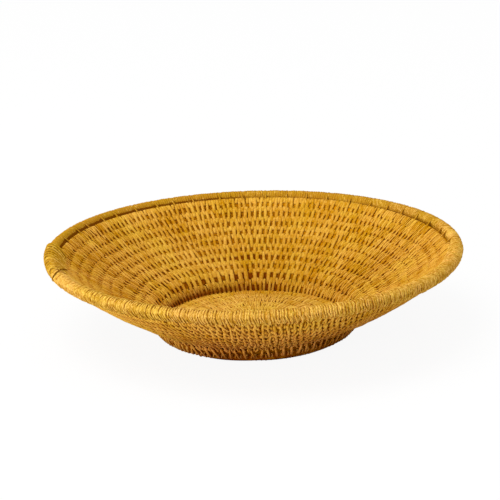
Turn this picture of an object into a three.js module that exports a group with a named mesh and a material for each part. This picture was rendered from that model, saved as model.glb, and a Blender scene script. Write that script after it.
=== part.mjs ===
// A coiled sisal bowl: one fibre bundle wound from a start knot out over the floor, up round a
// low foot and out along a flared wall, closed by a thick wrapped rim roll that is lashed on.
// Millimetres, +Z up, origin on the table under the middle of the floor.

import * as THREE from 'three';

const { degToRad, clamp, euclideanModulo } = THREE.MathUtils;

// The coil that the bowl is wound from.
const COIL_PITCH = 10.52; // from one turn to the next, measured along the profile
const COIL_THICKNESS = 9.2; // through the wall
const FLOOR_TURNS = 7;
const WALL_TURNS = 10;
const KNOT_RADIUS = 8.3;
const FIRST_CLIMB = degToRad(360); // the part of a turn that steps out to the next one
const LAST_CLIMB = degToRad(40);
const END_TAPER = 0.25; // share of the full width left at either end of the coil

// The profile, along the middle of the wall, with angles above the table.
const CORNER_RADIUS = 4.5;
const FOOT_ANGLE = degToRad(53.8);
const FOOT_LENGTH = 11.5;
const NECK_RADIUS = 20.6;
const FLARE_START_ANGLE = degToRad(26.5);
const FLARE_END_ANGLE = degToRad(40.2);
const SADDLE_RISE = 0.85; // the hand wound rim stands this much higher at its sides

// The rim roll and what holds it.
const RIM_ROLL_DIAMETER = 11;
const RIM_WRAP_THICKNESS = 1.5;
const RIM_OVERHANG = 0.95; // how far the roll stands out past the middle of the wall
const LASHING_START = 0; // the lashing runs from here round the back to the splice
const LASHING_COUNT = 24;
const LASHING_WIDTH = 2.2;
const LASHING_THICKNESS = 0.9;
const LASHING_SLACK = 0.3; // how loose the lashing lies on the top turn
const SPLICE_ANGLE = degToRad(186); // where the two ends of the rim roll meet
const SPLICE_LENGTH = 84;
const SPLICE_TURNS = 11;
const SPLICE_STRAND = 1.7;

const CLEARANCE = 0.3; // between pieces that touch
const STATIONS = 30; // straight stretches in one turn
const COIL_END_STATIONS = 4; // from the splice on to where the coil ends under the rim
const COIL_SIDES = 8;
const ROLL_SIDES = 10;
const STRAND_SIDES = 6;

const TURNS = FLOOR_TURNS + WALL_TURNS;
const FULL_TURN = 2 * Math.PI;
const STATION_ANGLE = FULL_TURN / STATIONS;
const COIL_END_ANGLE = SPLICE_ANGLE + COIL_END_STATIONS * STATION_ANGLE;
const FLAT_SHARE = Math.tan(Math.PI / COIL_SIDES); // half a flat over the section's half width
const RIM_RADIUS = RIM_ROLL_DIAMETER / 2;
const LASHING_OFFSET = CLEARANCE + LASHING_THICKNESS / 2;
const LASHING_ROOM = LASHING_THICKNESS + 2 * CLEARANCE + LASHING_SLACK;
const SPLICE_RADIUS = (RIM_RADIUS + CLEARANCE + SPLICE_STRAND / 2) / Math.cos(Math.PI / ROLL_SIDES);
const SPLICE_ROOM = SPLICE_RADIUS + SPLICE_STRAND / 2 - RIM_RADIUS;

// Profile of the bowl: floor, corner, foot, neck and flare, tangent to each other.
function makeProfile() {
  const floorEnd = KNOT_RADIUS + FLOOR_TURNS * COIL_PITCH - CORNER_RADIUS * FOOT_ANGLE;
  const floorHeight = COIL_THICKNESS / 2;
  const path = new THREE.Path();
  path.moveTo(KNOT_RADIUS, floorHeight);
  path.lineTo(floorEnd, floorHeight);

  const quarter = Math.PI / 2;
  path.absarc(floorEnd, floorHeight + CORNER_RADIUS, CORNER_RADIUS, -quarter, FOOT_ANGLE - quarter);
  const foot = new THREE.Vector2(Math.cos(FOOT_ANGLE), Math.sin(FOOT_ANGLE));
  const footEnd = path.currentPoint.clone().addScaledVector(foot, FOOT_LENGTH);
  path.lineTo(footEnd.x, footEnd.y);

  const neckCentre = footEnd.clone().addScaledVector(new THREE.Vector2(foot.y, -foot.x), NECK_RADIUS);
  path.absarc(
    neckCentre.x, neckCentre.y, NECK_RADIUS, quarter + FOOT_ANGLE, quarter + FLARE_START_ANGLE, true,
  );

  const flareLength = TURNS * COIL_PITCH - path.getLength();
  const flareRadius = flareLength / (FLARE_END_ANGLE - FLARE_START_ANGLE);
  const start = path.currentPoint;
  path.absarc(
    start.x - flareRadius * Math.sin(FLARE_START_ANGLE),
    start.y + flareRadius * Math.cos(FLARE_START_ANGLE),
    flareRadius, FLARE_START_ANGLE - quarter, FLARE_END_ANGLE - quarter,
  );
  path.updateArcLengths();
  return path;
}

const profile = makeProfile();
const profileLength = profile.getLength();

// A point of the profile, counted in turns out from the knot, with its direction and outer normal.
function profileAt(turns) {
  const share = clamp(turns * COIL_PITCH / profileLength, 0, 1 - 1e-9);
  const point = profile.getPoint(share);
  const along = profile.getTangent(share);
  return { point, along, outward: new THREE.Vector2(along.y, -along.x) };
}

const wallTop = profileAt(TURNS);
const rimMiddle = wallTop.point.clone()
  .addScaledVector(wallTop.along, RIM_RADIUS + CLEARANCE)
  .addScaledVector(wallTop.outward, RIM_OVERHANG);
const neckHeight = profileAt(FLOOR_TURNS + FOOT_LENGTH / COIL_PITCH).point.y;

// A profile point turned round the bowl. Every piece follows the same straight stretches between
// stations, the wall rises and falls a little towards the rim, and the table presses the foot flat.
function place(point, angle) {
  const intoStretch = euclideanModulo(angle - SPLICE_ANGLE, STATION_ANGLE);
  const chord = Math.cos(STATION_ANGLE / 2) / Math.cos(intoStretch - STATION_ANGLE / 2);
  const radius = point.x * chord;
  const lift = clamp((point.y - neckHeight) / (rimMiddle.y - neckHeight), 0, 1.2);
  const height = point.y + lift * SADDLE_RISE * Math.cos(2 * angle);
  return new THREE.Vector3(radius * Math.cos(angle), radius * Math.sin(angle), Math.max(height, 0));
}

// A closed solid through rings of points that run anticlockwise about the direction of travel.
function loft(rings) {
  const count = rings[0].length;
  const last = rings.length - 1;
  const index = [];
  for (let ring = 0; ring < last; ring += 1) {
    for (let side = 0; side < count; side += 1) {
      const a = ring * count + side;
      const b = ring * count + (side + 1) % count;
      index.push(a, b, b + count, a, b + count, a + count);
    }
  }
  for (let side = 1; side < count - 1; side += 1) {
    index.push(0, side + 1, side);
    index.push(last * count, last * count + side, last * count + side + 1);
  }
  const geometry = new THREE.BufferGeometry().setFromPoints(rings.flat());
  geometry.setIndex(index);
  return geometry;
}

// How far a turn's inner edge has stepped out at this share of the turn, from 0 to 1.
function climb(turn, share) {
  const climbAngle = FIRST_CLIMB * (LAST_CLIMB / FIRST_CLIMB) ** (turn / TURNS);
  return clamp(share * FULL_TURN / climbAngle, 0, 1);
}

// The room that a turn may fill on one side, up to the plane where it meets its neighbour. Where the
// wall bends, neither the end of the section's side flat nor that of its top flat may pass the plane.
function roomTowards(middle, edge, halfThickness) {
  const reach = Math.abs(middle.point.clone().sub(edge.point).dot(edge.along)) - CLEARANCE / 2;
  const tilt = Math.abs(middle.along.cross(edge.along));
  const straight = middle.along.dot(edge.along);
  const sideFlat = reach - FLAT_SHARE * halfThickness * tilt;
  const topFlat = (reach - halfThickness * tilt) / FLAT_SHARE;
  return Math.min(sideFlat, topFlat) / straight;
}

// What the top turn leaves free: below it for the lashing, and above it for the splice's strand.
function lashingRoom(turn, share, width) {
  if (turn < TURNS - 1) return 0;
  const tied = turn === TURNS ? width : climb(turn, share);
  return tied * LASHING_ROOM;
}

function spliceRoom(outer, angle) {
  const fromSplice = Math.abs(euclideanModulo(angle - SPLICE_ANGLE + Math.PI, FULL_TURN) - Math.PI);
  const reach = SPLICE_LENGTH / 2 / rimMiddle.x + STATION_ANGLE;
  return outer === TURNS && fromSplice < reach ? SPLICE_ROOM : 0;
}

// Where a turn runs at a share of its length: the edges it lies between and its section.
function coilSection(turn, share) {
  const inner = Math.max(turn - 1 + climb(turn, share), 0);
  const outer = Math.min(turn + climb(turn + 1, share), TURNS);
  const angle = COIL_END_ANGLE + share * FULL_TURN;
  const width = Math.min(outer - inner, 1);
  const middle = profileAt((inner + outer) / 2);
  const halfThickness = COIL_THICKNESS / 2 * Math.sqrt(width);
  const inwards = roomTowards(middle, profileAt(inner), halfThickness) - lashingRoom(turn, share, width);
  const outwards = roomTowards(middle, profileAt(outer), halfThickness) - spliceRoom(outer, angle);
  return { angle, middle, halfThickness, inwards, outwards };
}

function coilRing(turn, share) {
  const { angle, middle, halfThickness, inwards, outwards } = coilSection(turn, share);
  const ring = [];
  for (let side = 0; side < COIL_SIDES; side += 1) {
    const around = (side + 0.5) * FULL_TURN / COIL_SIDES;
    const x = Math.cos(around) / Math.cos(Math.PI / COIL_SIDES);
    const y = Math.sin(around) / Math.cos(Math.PI / COIL_SIDES);
    const corner = middle.point.clone();
    corner.addScaledVector(middle.along, x * (x > 0 ? outwards : inwards));
    corner.addScaledVector(middle.outward, y * halfThickness);
    ring.push(place(corner, angle));
  }
  return ring;
}

// One turn of the coil. The first starts in a taper, and the last runs on past its start in one.
function coilTurn(turn) {
  const endGap = CLEARANCE / 2 / (FULL_TURN * coilSection(turn, 0.5).middle.point.x);
  const shares = [];
  for (let station = 0; station <= STATIONS; station += 1) {
    const share = station / STATIONS;
    const tapered = turn === 0 && climb(1, share) < END_TAPER;
    if (!tapered) shares.push(clamp(share, endGap, 1 - endGap));
  }
  const rings = shares.map((share) => coilRing(turn, share));
  if (turn < TURNS - 1) return loft(rings);
  rings.pop();
  for (let station = 0; climb(TURNS, station / STATIONS) <= 1 - END_TAPER; station += 1) {
    rings.push(coilRing(TURNS, station / STATIONS));
  }
  return loft(rings);
}

function startKnot() {
  const radius = KNOT_RADIUS - CLEARANCE;
  const rounding = radius * 0.35;
  const outline = new THREE.Path();
  outline.moveTo(0, 0);
  outline.lineTo(radius - rounding, 0);
  outline.absarc(radius - rounding, rounding, rounding, -Math.PI / 2, 0);
  outline.lineTo(radius, COIL_THICKNESS - rounding);
  outline.absarc(radius - rounding, COIL_THICKNESS - rounding, rounding, 0, Math.PI / 2);
  outline.lineTo(0, COIL_THICKNESS);
  const geometry = new THREE.LatheGeometry(outline.getPoints(2), STATIONS / 2);
  return geometry.rotateX(Math.PI / 2);
}

// The line down the middle of the rim roll, from one face of the splice round to the other.
class RimLine extends THREE.Curve {
  getPoint(share, target = new THREE.Vector3()) {
    const gap = CLEARANCE / rimMiddle.x;
    return target.copy(place(rimMiddle, SPLICE_ANGLE + gap / 2 + share * (FULL_TURN - gap)));
  }
}

function roundSection(radius) {
  const shape = new THREE.Shape();
  shape.absarc(0, 0, radius, 0, FULL_TURN);
  return shape;
}

function sweep(section, sides, steps, extrudePath) {
  const options = { steps, curveSegments: sides / 2, bevelEnabled: false, extrudePath };
  return new THREE.ExtrudeGeometry(section, options);
}

function rimCore() {
  const section = roundSection(RIM_RADIUS - RIM_WRAP_THICKNESS - CLEARANCE);
  return sweep(section, ROLL_SIDES, STATIONS, new RimLine());
}

function rimWrap() {
  const section = roundSection(RIM_RADIUS);
  section.holes.push(roundSection(RIM_RADIUS - RIM_WRAP_THICKNESS));
  return sweep(section, ROLL_SIDES, STATIONS, new RimLine());
}

// One stitch of the lashing, in the plane of the profile: up the inner face of the top turn, over
// the roll and back down behind it, with the corners kept clear of both.
function lashingStitch(section) {
  const { middle, halfThickness, inwards } = section;
  const side = halfThickness + LASHING_OFFSET + LASHING_SLACK;
  const under = inwards + LASHING_OFFSET + LASHING_SLACK;
  const onTurn = (x, y) => middle.point.clone()
    .addScaledVector(middle.along, x)
    .addScaledVector(middle.outward, y);
  const overSteps = 6;
  const overSpan = degToRad(200);
  const overRadius = (RIM_RADIUS + LASHING_OFFSET) / Math.cos(overSpan / overSteps / 2);
  const points = [
    onTurn(-under, -FLAT_SHARE * side),
    onTurn(-FLAT_SHARE * under, -side),
    onTurn(FLAT_SHARE * under, -side),
  ];
  for (let step = 0; step <= overSteps; step += 1) {
    const turned = FLARE_END_ANGLE + overSpan * (0.5 - step / overSteps);
    const arm = new THREE.Vector2(Math.cos(turned), Math.sin(turned));
    points.push(rimMiddle.clone().addScaledVector(arm, overRadius));
  }
  points.push(onTurn(FLAT_SHARE * under, side));
  points.push(onTurn(-FLAT_SHARE * under, side));
  points.push(onTurn(-under, FLAT_SHARE * side));
  return points;
}

// The lashing is one flat strand. It moves on to the next stitch on the outer side, out of sight.
function rimLashing() {
  const lastAngle = SPLICE_ANGLE - SPLICE_LENGTH / 2 / rimMiddle.x - STATION_ANGLE / 2;
  const spacing = (lastAngle - LASHING_START) / LASHING_COUNT;
  const stitch = lashingStitch(coilSection(TURNS - 1, 0.5));
  const crossingSteps = 4;
  const crossing = stitch.length - crossingSteps;
  const line = [];
  for (let count = 0; count < LASHING_COUNT; count += 1) {
    stitch.forEach((point, step) => {
      const moved = clamp((step - crossing) / crossingSteps, 0, 1);
      const angle = LASHING_START + (count + moved) * spacing;
      line.push({ position: place(point, angle), angle });
    });
  }
  const rings = line.map(({ position, angle }, step) => {
    const before = line[Math.max(step - 1, 0)].position;
    const after = line[Math.min(step + 1, line.length - 1)].position;
    const travel = after.clone().sub(before).normalize();
    const round = new THREE.Vector3(-Math.sin(angle), Math.cos(angle), 0);
    const out = travel.clone().cross(round).normalize();
    const across = travel.clone().cross(out);
    return [[1, -1], [1, 1], [-1, 1], [-1, -1]].map(([up, wide]) => position.clone()
      .addScaledVector(out, up * LASHING_THICKNESS / 2)
      .addScaledVector(across, wide * LASHING_WIDTH / 2));
  });
  return loft(rings);
}

// The strand wound over the splice, where the two ends of the rim roll meet.
class SpliceLine extends THREE.Curve {
  getPoint(share, target = new THREE.Vector3()) {
    const angle = SPLICE_ANGLE + (share - 0.5) * SPLICE_LENGTH / rimMiddle.x;
    const wound = share * SPLICE_TURNS * FULL_TURN;
    const arm = new THREE.Vector2(Math.cos(wound), Math.sin(wound));
    return target.copy(place(rimMiddle.clone().addScaledVector(arm, SPLICE_RADIUS), angle));
  }
}

function spliceBinding() {
  return sweep(roundSection(SPLICE_STRAND / 2), STRAND_SIDES, SPLICE_TURNS * ROLL_SIDES, new SpliceLine());
}

function sisal(colour) {
  return new THREE.MeshStandardMaterial({ color: colour, roughness: 0.85, metalness: 0 });
}

function piece(name, geometry, colour) {
  const mesh = new THREE.Mesh(geometry, sisal(colour));
  mesh.name = name;
  return mesh;
}

const FLOOR_COLOUR = 0xb9823a;
const WALL_COLOUR = 0xcf9a45;
const RIM_COLOUR = 0xd9a550;
const STRAND_COLOUR = 0xe4b86c;

const floor = new THREE.Group();
floor.add(piece('start_knot', startKnot(), FLOOR_COLOUR));
for (let turn = 0; turn < FLOOR_TURNS; turn += 1) {
  floor.add(piece(`floor_coil_${turn + 1}`, coilTurn(turn), FLOOR_COLOUR));
}

const wall = new THREE.Group();
for (let turn = FLOOR_TURNS; turn < TURNS; turn += 1) {
  wall.add(piece(`wall_coil_${turn - FLOOR_TURNS + 1}`, coilTurn(turn), WALL_COLOUR));
}

const rim = new THREE.Group();
rim.add(piece('rim_core', rimCore(), WALL_COLOUR));
rim.add(piece('rim_wrap', rimWrap(), RIM_COLOUR));
rim.add(piece('rim_lashing', rimLashing(), STRAND_COLOUR));
rim.add(piece('splice_binding', spliceBinding(), STRAND_COLOUR));

const basket = new THREE.Group();
basket.add(floor, wall, rim);

export default basket;
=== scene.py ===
import math

import bpy
import numpy as np
from mathutils import Matrix, Vector


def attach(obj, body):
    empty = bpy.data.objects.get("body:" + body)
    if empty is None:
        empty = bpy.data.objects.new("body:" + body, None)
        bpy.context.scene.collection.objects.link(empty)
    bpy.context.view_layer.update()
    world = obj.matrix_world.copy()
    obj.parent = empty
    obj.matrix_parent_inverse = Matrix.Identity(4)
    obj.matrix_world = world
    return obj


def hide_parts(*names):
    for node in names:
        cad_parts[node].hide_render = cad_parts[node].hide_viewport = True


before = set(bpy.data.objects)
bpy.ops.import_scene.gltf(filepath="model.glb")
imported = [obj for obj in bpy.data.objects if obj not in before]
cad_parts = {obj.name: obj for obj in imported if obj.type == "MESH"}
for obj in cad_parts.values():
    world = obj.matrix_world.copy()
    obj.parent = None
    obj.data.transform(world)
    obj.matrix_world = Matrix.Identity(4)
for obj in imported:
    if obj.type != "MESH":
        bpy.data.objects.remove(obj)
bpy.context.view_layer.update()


# The fibre bundle
# A bundle of loose sisal fibre, wound from a small knot in the middle out over the floor, up round a low
# foot and out along the flared wall. A new hank is laid in about once a turn, so each turn is a piece. It
# is coloured dark as painted shade for the slots between the stitches that bind it, where alone it shows.
SEED = 11
FULL_TURN = 2 * math.pi
COIL_PITCH = 0.01052
COIL_THICKNESS = 0.0092
FLOOR_TURNS = 7
WALL_TURNS = 10
TURNS = FLOOR_TURNS + WALL_TURNS
FOOT_TURNS = (FLOOR_TURNS - 1, FLOOR_TURNS)
KNOT_RADIUS = 0.0083
FIRST_CLIMB = math.radians(360)
LAST_CLIMB = math.radians(40)
END_TAPER = 0.25
TAPER_TOLERANCE = 1e-6
COIL_END_ANGLE = math.radians(234)

CORNER_RADIUS = 0.0045
FOOT_ANGLE = math.radians(53.8)
FOOT_LENGTH = 0.0115
NECK_RADIUS = 0.0206
FLARE_START_ANGLE = math.radians(26.5)
FLARE_END_ANGLE = math.radians(40.2)

# The profile is kept as the slope of the wall along its own length, counted from the knot's edge.
PROFILE_STEP = 0.0001
PROFILE_SPARE = 0.02
corner_end = FLOOR_TURNS * COIL_PITCH
neck_start = corner_end + FOOT_LENGTH
bend_runs = [
    0, corner_end - CORNER_RADIUS * FOOT_ANGLE, corner_end, neck_start,
    neck_start + NECK_RADIUS * (FOOT_ANGLE - FLARE_START_ANGLE), TURNS * COIL_PITCH,
]
bend_slopes = [0, 0, FOOT_ANGLE, FOOT_ANGLE, FLARE_START_ANGLE, FLARE_END_ANGLE]
profile_runs = np.arange(-KNOT_RADIUS, TURNS * COIL_PITCH + PROFILE_SPARE, PROFILE_STEP)
profile_slopes = np.interp(profile_runs, bend_runs, bend_slopes)
profile_radii = np.cumsum(np.cos(profile_slopes)) * PROFILE_STEP
profile_heights = COIL_THICKNESS / 2 + np.cumsum(np.sin(profile_slopes)) * PROFILE_STEP

# The rim roll stands on the top edge. Round the bowl the wall rises and falls slowly, by nothing at the
# neck and by the whole rise at the middle of the roll.
RIM_ROLL_RADIUS = 0.0055
RIM_OVERHANG = 0.00095
RIM_GAP = 0.0003
SADDLE_RISE = 0.00085
RISE_LIMIT = 1.2
wall_slope = Vector((math.cos(FLARE_END_ANGLE), 0, math.sin(FLARE_END_ANGLE)))
wall_outward = Vector((wall_slope.z, 0, -wall_slope.x))
wall_top = Vector((
    np.interp(TURNS * COIL_PITCH, profile_runs, profile_radii), 0,
    np.interp(TURNS * COIL_PITCH, profile_runs, profile_heights),
))
rim_middle = wall_top + (RIM_ROLL_RADIUS + RIM_GAP) * wall_slope + RIM_OVERHANG * wall_outward
neck_height = np.interp(neck_start, profile_runs, profile_heights)


def turned(radius, height, angle):
    """Points of the profile turned round the bowl, with the slow rise and fall of the wall."""
    share = np.clip((height - neck_height) / (rim_middle.z - neck_height), 0, RISE_LIMIT)
    height = np.maximum(height + share * SADDLE_RISE * np.cos(2 * angle), 0)
    return np.stack([radius * np.cos(angle), radius * np.sin(angle), height], -1)


def on_bowl(run, out, angle):
    """Points at a length along the profile, standing out from the middle of the wall."""
    slope = np.interp(run, profile_runs, profile_slopes)
    radius = np.interp(run, profile_runs, profile_radii) + out * np.sin(slope)
    height = np.interp(run, profile_runs, profile_heights) - out * np.cos(slope)
    return turned(radius, height, angle)


def coil_angle(share):
    """The angle round the bowl at a share of a turn."""
    return COIL_END_ANGLE + share * FULL_TURN


def climb(turn, share):
    """How far the inner edge of a turn has stepped out to the next one, from 0 to 1."""
    climb_angle = FIRST_CLIMB * (LAST_CLIMB / FIRST_CLIMB) ** (turn / TURNS)
    return np.clip(share * FULL_TURN / climb_angle, 0, 1)


# The size of each wave in turns, its waves per turn and its shift.
WAVERS = ((0.030, 2.37, 0), (0.022, 5.61, 1), (0.016, 11.3, 2))
WAVER_FADE = 0.25


def waver(wound):
    """How far the hand strays from an even coil, in turns, at a number of turns wound."""
    return sum(size * np.sin(rate * FULL_TURN * wound + shift) for size, rate, shift in WAVERS)


def turn_edges(turn, share):
    """The edges that a turn lies between, in turns out from the knot."""
    inner = np.maximum(turn - 1 + climb(turn, share), 0)
    outer = np.minimum(turn + climb(turn + 1, share), TURNS)
    from_knot = np.clip(inner / WAVER_FADE, 0, 1)
    inner = inner + waver(turn + share) * from_knot * np.clip((TURNS - inner) / WAVER_FADE, 0, 1)
    outer = outer + waver(turn + 1 + share) * np.clip((TURNS - outer) / WAVER_FADE, 0, 1)
    return inner, outer


def turn_shares(turn, shares):
    """The shares of a turn's length where it is wide enough to be there."""
    inner, outer = turn_edges(turn, shares)
    return shares[outer - inner >= END_TAPER - TAPER_TOLERANCE]


def add_node(tree, kind, inputs=None, **settings):
    """A node with its settings, and its inputs linked or set."""
    node = tree.nodes.new(kind)
    for key, value in settings.items():
        setattr(node, key, value)
    for key, value in (inputs or {}).items():
        matches = [socket for socket in node.inputs if socket.identifier == key]
        socket = matches[0] if matches else node.inputs[key]
        if isinstance(value, bpy.types.NodeSocket):
            tree.links.new(value, socket)
        else:
            socket.default_value = value
    return node


def add_math(tree, operation, *values):
    """The output of a math node."""
    return add_node(tree, "ShaderNodeMath", dict(enumerate(values)), operation=operation).outputs[0]


def add_vector_math(tree, operation, *values):
    """The output of a vector math node."""
    return add_node(tree, "ShaderNodeVectorMath", dict(enumerate(values)), operation=operation).outputs[0]


NOISE_MIDDLE = 0.5


def add_noise(tree, place, scale, detail, roughness=0.5):
    """The output of a noise texture, which swings about its middle of a half."""
    inputs = {"Vector": place, "Scale": scale, "Detail": detail, "Roughness": roughness}
    return add_node(tree, "ShaderNodeTexNoise", inputs).outputs[0]


FIBRE_ROUGHNESS = 0.8
STREAK_SHIFTS = (71, 113)
PATCH_SCALE = 28
GRAIN_SCALE = 480
DYE_SCALE = 36
TONE_BASE = 0.3
TONE_WEIGHT = 0.4
RAMP_ENDS = (0.15, 0.85)
BUMP_STRENGTH = 0.5
BUMP_DEPTH = 0.0005
# Painted shade mixed into the colour: on the edges of each strand, a redder tint low on the outside of the
# wall, a contact shadow with some dirt near the ground, and shade in the inner corner. The yellow is the
# fibre's own dye.
CREASE_SHADE = (0.68, 0.29, 0.05, 1)
LOW_WALL_SHADE_TINT = (1.0, 0.79, 1.2, 1)
GROUND_SHADOW_AND_DIRT = (0.5, 0.42, 0.4, 1)
CORNER_SHADE = (0.32, 0.15, 0.06, 1)
YELLOW_STAIN = (1.0, 1.07, 0.82, 1)

# Where each painted shade and the yellow dye begin and where they are full: across a strand, out from the
# middle of the wall, from left to right, in height and in the noise of the dye.
CREASE_EDGE = (0.4, 1.0)
OUTER_FACE = (0, 0.003)
INNER_FACE = (0, -0.0015)
OUTER_RIGHT = (-0.085, -0.03)
INNER_LEFT = (0.03, -0.04)
LOW_WALL = (0.06, 0.005)
NEAR_GROUND = (0.012, 0.002)
CORNER_BOTTOM = (0.0090, 0.0100)
CORNER_TOP = (0.0170, 0.0110)
YELLOW_DYE = (0.45, 0.62)


def sisal(
    name, dark, light, streak_scale, streak_length, streakiness, patchiness, graininess,
    crease_shade=CREASE_SHADE,
):
    """Sisal fibre: streaks along the strand and a tone that each strand has of its own, with painted shade
    on the edges of each strand, low on the outer wall, near the ground and in the inner corner, and patches
    of yellower dye.
    """
    material = bpy.data.materials.new(name)
    material.use_nodes = True
    tree = material.node_tree
    shader = tree.nodes["Principled BSDF"]
    shader.inputs["Roughness"].default_value = FIBRE_ROUGHNESS
    shader.inputs["Specular IOR Level"].default_value = 0.0

    def attribute(attribute_name, output="Fac"):
        return add_node(tree, "ShaderNodeAttribute", attribute_name=attribute_name).outputs[output]

    def fade(value, ends, most=1.0):
        inputs = {"Value": value, "From Min": ends[0], "From Max": ends[1], "To Max": most}
        return add_node(tree, "ShaderNodeMapRange", inputs).outputs[0]

    section = attribute("section", "Vector")
    tone = attribute("tone")
    along = add_node(tree, "ShaderNodeCombineXYZ", {
        "Z": add_math(tree, "DIVIDE", attribute("along"), streak_length),
    }).outputs[0]
    shift = add_node(tree, "ShaderNodeCombineXYZ", {
        "X": add_math(tree, "MULTIPLY", tone, STREAK_SHIFTS[0]),
        "Y": add_math(tree, "MULTIPLY", tone, STREAK_SHIFTS[1]),
    }).outputs[0]
    fibre = add_vector_math(tree, "MULTIPLY", section, (streak_scale,) * 3)
    fibre = add_vector_math(tree, "ADD", fibre, along)
    fibre = add_vector_math(tree, "ADD", fibre, shift)
    place = add_node(tree, "ShaderNodeTexCoord").outputs["Object"]
    streaks = add_noise(tree, fibre, scale=1.0, detail=3.0, roughness=0.6)
    patches = add_noise(tree, place, PATCH_SCALE, detail=2.0)
    grain = add_noise(tree, place, GRAIN_SCALE, detail=1.0)
    dye = add_noise(tree, place, DYE_SCALE, detail=4.0, roughness=0.65)

    mixed = add_math(tree, "ADD", add_math(tree, "MULTIPLY", tone, TONE_WEIGHT), TONE_BASE)
    for pattern, weight in ((streaks, streakiness), (patches, patchiness), (grain, graininess)):
        swing = add_math(tree, "MULTIPLY", add_math(tree, "SUBTRACT", pattern, NOISE_MIDDLE), weight)
        mixed = add_math(tree, "ADD", mixed, swing)
    ramp = add_node(tree, "ShaderNodeValToRGB", {"Fac": mixed})
    for element, position, colour in zip(ramp.color_ramp.elements, RAMP_ENDS, (dark, light)):
        element.position = position
        element.color = colour

    across = add_node(tree, "ShaderNodeSeparateXYZ", {0: section}).outputs["Y"]
    edge = fade(add_math(tree, "ABSOLUTE", across), CREASE_EDGE, attribute("edge_shade"))
    spot = add_node(tree, "ShaderNodeSeparateXYZ", {0: place}).outputs
    out = attribute("outside")
    outside = fade(out, OUTER_FACE, fade(spot["X"], OUTER_RIGHT))
    inside = fade(out, INNER_FACE, fade(spot["X"], INNER_LEFT))
    corner = add_math(tree, "MULTIPLY", fade(spot["Z"], CORNER_BOTTOM, inside), fade(spot["Z"], CORNER_TOP))
    colour = ramp.outputs[0]
    # Each tint is multiplied in by its share: painted shade at the strand edges, low on the outer wall,
    # near the ground and in the corner, then the dye.
    for share, tint in (
        (edge, crease_shade), (fade(spot["Z"], LOW_WALL, outside), LOW_WALL_SHADE_TINT),
        (fade(spot["Z"], NEAR_GROUND, outside), GROUND_SHADOW_AND_DIRT), (corner, CORNER_SHADE),
        (fade(dye, YELLOW_DYE), YELLOW_STAIN),
    ):
        colour = add_node(tree, "ShaderNodeMix", {
            "Factor_Float": share, "A_Color": colour, "B_Color": tint,
        }, data_type="RGBA", blend_type="MULTIPLY").outputs[2]
    tree.links.new(colour, shader.inputs["Base Color"])
    bump = add_node(tree, "ShaderNodeBump", {
        "Strength": BUMP_STRENGTH, "Distance": BUMP_DEPTH, "Height": streaks,
    })
    tree.links.new(bump.outputs[0], shader.inputs["Normal"])
    return material


STRAND_THICKNESS = 0.0015
BUNDLE_HALF_WIDTH = 0.57 * COIL_PITCH
BUNDLE_HALF_THICKNESS = COIL_THICKNESS / 2 - 1.2 * STRAND_THICKNESS
FOOT_HALF_THICKNESS = COIL_THICKNESS / 2 - 0.4 * STRAND_THICKNESS
BUNDLE_SIDES = 14
BUNDLE_STATIONS = 150
BUNDLE_DARK_COLOUR = (0.17, 0.034, 0.0006, 1)
BUNDLE_LIGHT_COLOUR = (0.54, 0.22, 0.002, 1)
HANK_TONES = (0.15, 0.35)
FLOOR_TONE = 0.9
# Painted shade and light in the slots: the turns of the foot and the two loosely stitched rows are toned
# darker, and round the bowl the bundle is toned lighter at the right and darkest at the back middle.
SHADED_TURN_TONES = {FLOOR_TURNS - 1: -0.8, FLOOR_TURNS: -0.8, FLOOR_TURNS + 1: -0.6, FLOOR_TURNS + 3: -0.3}
BUNDLE_SHADE_ANGLES = np.radians([0, 50, 90, 130, 170, 200, 330, 360])
BUNDLE_SHADE_TONES = (1.2, 1.5, -0.1, 0.6, 0.7, 0.6, 0.6, 1.2)

bundle_fibre = sisal(
    "bundle_fibre", BUNDLE_DARK_COLOUR, BUNDLE_LIGHT_COLOUR, streak_scale=3.0, streak_length=0.005,
    streakiness=1.6, patchiness=0.7, graininess=0.4,
)


def add_values(mesh, name, values, kind="FLOAT"):
    """An attribute with a value for each point of a mesh."""
    data = mesh.attributes.new(name, kind, "POINT").data
    data.foreach_set("vector" if kind == "FLOAT_VECTOR" else "value", values.astype(np.float32).ravel())


def tube(name, rings, along, tone, material):
    """A closed mesh through rings of points, with its fibre running along it."""
    count, sides = rings.shape[:2]
    faces = []
    for ring in range(count - 1):
        for side in range(sides):
            a = ring * sides + side
            b = ring * sides + (side + 1) % sides
            faces.append((a, b, b + sides, a + sides))
    faces.append(tuple(range(sides))[::-1])
    faces.append(tuple(range((count - 1) * sides, count * sides)))
    mesh = bpy.data.meshes.new(name)
    mesh.from_pydata(rings.reshape(-1, 3).tolist(), [], faces)
    mesh.shade_smooth()
    around = np.arange(sides) * FULL_TURN / sides
    section = np.stack([np.cos(around), np.sin(around), np.zeros(sides)], -1)
    add_values(mesh, "section", np.tile(section, (count, 1)), "FLOAT_VECTOR")
    add_values(mesh, "along", np.repeat(along, sides))
    add_values(mesh, "tone", np.repeat(np.broadcast_to(tone, count), sides))
    mesh.materials.append(material)
    piece = bpy.data.objects.new(name, mesh)
    bpy.context.scene.collection.objects.link(piece)
    return piece


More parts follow.
